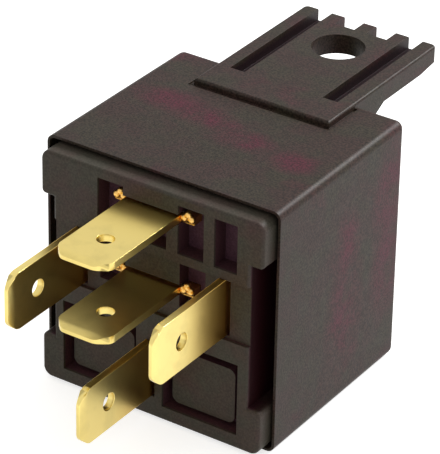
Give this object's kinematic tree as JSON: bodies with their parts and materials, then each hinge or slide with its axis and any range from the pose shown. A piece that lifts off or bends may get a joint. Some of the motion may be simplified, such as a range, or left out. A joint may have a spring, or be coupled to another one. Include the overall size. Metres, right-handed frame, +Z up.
{
  "type": "automotive relay",
  "caption": "Plug-in automotive relay: a black cubic case with a slotted mounting bracket and flat brass blades standing out of its base.",
  "frame": {"origin": "middle of the flat side of the case that the relay lies on", "axes": "+X across the case, +Y from the blades to the bracket, +Z up through the bracket's hole"},
  "size_m": [0.0272, 0.0517, 0.0275],
  "materials": {
    "case_plastic": "matte moulded, fine texture",
    "base_plastic": "matte moulded",
    "brass_strip": "bright rolled",
    "iron": "plated, satin",
    "bobbin_plastic": "moulded",
    "enamelled_wire": "enamelled copper",
    "spring_bronze": "rolled bronze",
    "silver": "silver alloy",
    "rivet_metal": "plated"
  },
  "bodies": {
    "housing": {"case": "case_plastic", "base": "base_plastic", "terminal_30": "brass_strip", "terminal_85": "brass_strip", "terminal_86": "brass_strip", "terminal_87": "brass_strip", "terminal_87a": "brass_strip", "yoke": "iron", "core": "iron", "bobbin": "bobbin_plastic", "coil_winding": "enamelled_wire", "coil_lead_start": "enamelled_wire", "coil_lead_finish": "enamelled_wire", "fixed_contact_no": "silver", "fixed_contact_nc": "silver", "spring_rivet_left": "rivet_metal", "spring_rivet_right": "rivet_metal", "terminal_rivet": "rivet_metal"},
    "armature_group": {"armature": "iron", "contact_spring": "spring_bronze", "moving_contact": "silver", "armature_rivet_left": "rivet_metal", "armature_rivet_right": "rivet_metal"}
  },
  "joints": [
    {"name": "armature_hinge", "type": "hinge", "parent": "housing", "child": "armature_group", "pos_m": [0, 0.00382, 0.0032], "axis": [1, 0, 0], "range_deg": [0, 2.5], "stiffness_Nm_per_rad": 0.01, "springref_deg": -15, "deforming": ["contact_spring"]}
  ]
}
